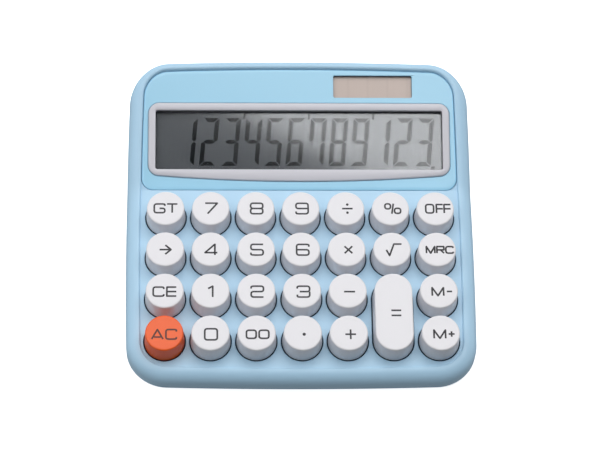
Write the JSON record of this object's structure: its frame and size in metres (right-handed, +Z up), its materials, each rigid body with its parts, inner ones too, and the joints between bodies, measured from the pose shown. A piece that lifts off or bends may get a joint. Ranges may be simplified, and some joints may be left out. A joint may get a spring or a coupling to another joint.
{
  "type": "desk calculator",
  "caption": "Solar desk calculator: sloping deck of round press keys, raised display panel behind it, all in a rounded wedge case on rubber feet.",
  "frame": {"origin": "on the desk under the middle of the calculator's footprint", "axes": "+X to the user's right, +Y away from the user towards the display end, +Z up"},
  "size_m": [0.1554, 0.1502, 0.0379],
  "materials": {
    "sky_plastic": "satin moulded ABS, pale sky blue",
    "white_key": "satin white key caps with dark grey legends",
    "orange_key": "satin orange key cap with a dark brown legend",
    "silver_frame": "silver-painted plastic frame",
    "clear_window": "clear polished window",
    "lcd_glass": "grey-green liquid crystal glass, dark segments",
    "inner_plastic": "unpainted inner plastic",
    "solar_glass": "solar cell behind glass, pinkish brown",
    "board": "green circuit board",
    "epoxy": "black epoxy",
    "silicone": "grey silicone rubber",
    "flat_cable": "amber flat cable",
    "red_wire": "red insulation",
    "black_wire": "black insulation",
    "steel": "plated steel",
    "rubber_foot": "dark grey rubber"
  },
  "bodies": {
    "case": {"battery_door": "sky_plastic", "battery_door_screw": "steel", "bottom_case": "sky_plastic", "button_cell": "steel", "case_screw_front_left": "steel", "case_screw_front_right": "steel", "case_screw_middle_left": "steel", "case_screw_middle_right": "steel", "case_screw_rear_left": "steel", "case_screw_rear_right": "steel", "cell_contact_negative": "steel", "cell_contact_positive": "steel", "cell_lead_black": "black_wire", "cell_lead_red": "red_wire", "controller_chip": "epoxy", "display_bezel": "silver_frame", "display_panel": "sky_plastic", "display_window": "clear_window", "foot_front_left": "rubber_foot", "foot_front_right": "rubber_foot", "foot_rear_left": "rubber_foot", "foot_rear_right": "rubber_foot", "key_mat": "silicone", "lcd_holder": "inner_plastic", "lcd_module": "lcd_glass", "lcd_ribbon": "flat_cable", "main_board": "board", "solar_cell": "solar_glass", "solar_lead_black": "black_wire", "solar_lead_red": "red_wire", "top_case": "sky_plastic"},
    "key_0": {"key_0": "white_key"},
    "key_1": {"key_1": "white_key"},
    "key_2": {"key_2": "white_key"},
    "key_3": {"key_3": "white_key"},
    "key_4": {"key_4": "white_key"},
    "key_5": {"key_5": "white_key"},
    "key_6": {"key_6": "white_key"},
    "key_7": {"key_7": "white_key"},
    "key_8": {"key_8": "white_key"},
    "key_9": {"key_9": "white_key"},
    "key_ac": {"key_ac": "orange_key"},
    "key_add": {"key_add": "white_key"},
    "key_arrow": {"key_arrow": "white_key"},
    "key_ce": {"key_ce": "white_key"},
    "key_divide": {"key_divide": "white_key"},
    "key_double_zero": {"key_double_zero": "white_key"},
    "key_equals": {"key_equals": "white_key"},
    "key_gt": {"key_gt": "white_key"},
    "key_m_minus": {"key_m_minus": "white_key"},
    "key_m_plus": {"key_m_plus": "white_key"},
    "key_mrc": {"key_mrc": "white_key"},
    "key_multiply": {"key_multiply": "white_key"},
    "key_off": {"key_off": "white_key"},
    "key_percent": {"key_percent": "white_key"},
    "key_point": {"key_point": "white_key"},
    "key_root": {"key_root": "white_key"},
    "key_subtract": {"key_subtract": "white_key"}
  },
  "joints": [
    {"name": "key_0_press", "type": "slide", "parent": "case", "child": "key_0", "axis": [0, 0.0698, -0.9976], "range_m": [0, 0.0022], "stiffness_N_per_m": 300, "deforming": ["key_mat"]},
    {"name": "key_1_press", "type": "slide", "parent": "case", "child": "key_1", "axis": [0, 0.0698, -0.9976], "range_m": [0, 0.0022], "stiffness_N_per_m": 300, "deforming": ["key_mat"]},
    {"name": "key_2_press", "type": "slide", "parent": "case", "child": "key_2", "axis": [0, 0.0698, -0.9976], "range_m": [0, 0.0022], "stiffness_N_per_m": 300, "deforming": ["key_mat"]},
    {"name": "key_3_press", "type": "slide", "parent": "case", "child": "key_3", "axis": [0, 0.0698, -0.9976], "range_m": [0, 0.0022], "stiffness_N_per_m": 300, "deforming": ["key_mat"]},
    {"name": "key_4_press", "type": "slide", "parent": "case", "child": "key_4", "axis": [0, 0.0698, -0.9976], "range_m": [0, 0.0022], "stiffness_N_per_m": 300, "deforming": ["key_mat"]},
    {"name": "key_5_press", "type": "slide", "parent": "case", "child": "key_5", "axis": [0, 0.0698, -0.9976], "range_m": [0, 0.0022], "stiffness_N_per_m": 300, "deforming": ["key_mat"]},
    {"name": "key_6_press", "type": "slide", "parent": "case", "child": "key_6", "axis": [0, 0.0698, -0.9976], "range_m": [0, 0.0022], "stiffness_N_per_m": 300, "deforming": ["key_mat"]},
    {"name": "key_7_press", "type": "slide", "parent": "case", "child": "key_7", "axis": [0, 0.0698, -0.9976], "range_m": [0, 0.0022], "stiffness_N_per_m": 300, "deforming": ["key_mat"]},
    {"name": "key_8_press", "type": "slide", "parent": "case", "child": "key_8", "axis": [0, 0.0698, -0.9976], "range_m": [0, 0.0022], "stiffness_N_per_m": 300, "deforming": ["key_mat"]},
    {"name": "key_9_press", "type": "slide", "parent": "case", "child": "key_9", "axis": [0, 0.0698, -0.9976], "range_m": [0, 0.0022], "stiffness_N_per_m": 300, "deforming": ["key_mat"]},
    {"name": "key_ac_press", "type": "slide", "parent": "case", "child": "key_ac", "axis": [0, 0.0698, -0.9976], "range_m": [0, 0.0022], "stiffness_N_per_m": 300, "deforming": ["key_mat"]},
    {"name": "key_add_press", "type": "slide", "parent": "case", "child": "key_add", "axis": [0, 0.0698, -0.9976], "range_m": [0, 0.0022], "stiffness_N_per_m": 300, "deforming": ["key_mat"]},
    {"name": "key_arrow_press", "type": "slide", "parent": "case", "child": "key_arrow", "axis": [0, 0.0698, -0.9976], "range_m": [0, 0.0022], "stiffness_N_per_m": 300, "deforming": ["key_mat"]},
    {"name": "key_ce_press", "type": "slide", "parent": "case", "child": "key_ce", "axis": [0, 0.0698, -0.9976], "range_m": [0, 0.0022], "stiffness_N_per_m": 300, "deforming": ["key_mat"]},
    {"name": "key_divide_press", "type": "slide", "parent": "case", "child": "key_divide", "axis": [0, 0.0698, -0.9976], "range_m": [0, 0.0022], "stiffness_N_per_m": 300, "deforming": ["key_mat"]},
    {"name": "key_double_zero_press", "type": "slide", "parent": "case", "child": "key_double_zero", "axis": [0, 0.0698, -0.9976], "range_m": [0, 0.0022], "stiffness_N_per_m": 300, "deforming": ["key_mat"]},
    {"name": "key_equals_press", "type": "slide", "parent": "case", "child": "key_equals", "axis": [0, 0.0698, -0.9976], "range_m": [0, 0.0022], "stiffness_N_per_m": 400, "deforming": ["key_mat"]},
    {"name": "key_gt_press", "type": "slide", "parent": "case", "child": "key_gt", "axis": [0, 0.0698, -0.9976], "range_m": [0, 0.0022], "stiffness_N_per_m": 300, "deforming": ["key_mat"]},
    {"name": "key_m_minus_press", "type": "slide", "parent": "case", "child": "key_m_minus", "axis": [0, 0.0698, -0.9976], "range_m": [0, 0.0022], "stiffness_N_per_m": 300, "deforming": ["key_mat"]},
    {"name": "key_m_plus_press", "type": "slide", "parent": "case", "child": "key_m_plus", "axis": [0, 0.0698, -0.9976], "range_m": [0, 0.0022], "stiffness_N_per_m": 300, "deforming": ["key_mat"]},
    {"name": "key_mrc_press", "type": "slide", "parent": "case", "child": "key_mrc", "axis": [0, 0.0698, -0.9976], "range_m": [0, 0.0022], "stiffness_N_per_m": 300, "deforming": ["key_mat"]},
    {"name": "key_multiply_press", "type": "slide", "parent": "case", "child": "key_multiply", "axis": [0, 0.0698, -0.9976], "range_m": [0, 0.0022], "stiffness_N_per_m": 300, "deforming": ["key_mat"]},
    {"name": "key_off_press", "type": "slide", "parent": "case", "child": "key_off", "axis": [0, 0.0698, -0.9976], "range_m": [0, 0.0022], "stiffness_N_per_m": 300, "deforming": ["key_mat"]},
    {"name": "key_percent_press", "type": "slide", "parent": "case", "child": "key_percent", "axis": [0, 0.0698, -0.9976], "range_m": [0, 0.0022], "stiffness_N_per_m": 300, "deforming": ["key_mat"]},
    {"name": "key_point_press", "type": "slide", "parent": "case", "child": "key_point", "axis": [0, 0.0698, -0.9976], "range_m": [0, 0.0022], "stiffness_N_per_m": 300, "deforming": ["key_mat"]},
    {"name": "key_root_press", "type": "slide", "parent": "case", "child": "key_root", "axis": [0, 0.0698, -0.9976], "range_m": [0, 0.0022], "stiffness_N_per_m": 300, "deforming": ["key_mat"]},
    {"name": "key_subtract_press", "type": "slide", "parent": "case", "child": "key_subtract", "axis": [0, 0.0698, -0.9976], "range_m": [0, 0.0022], "stiffness_N_per_m": 300, "deforming": ["key_mat"]}
  ]
}
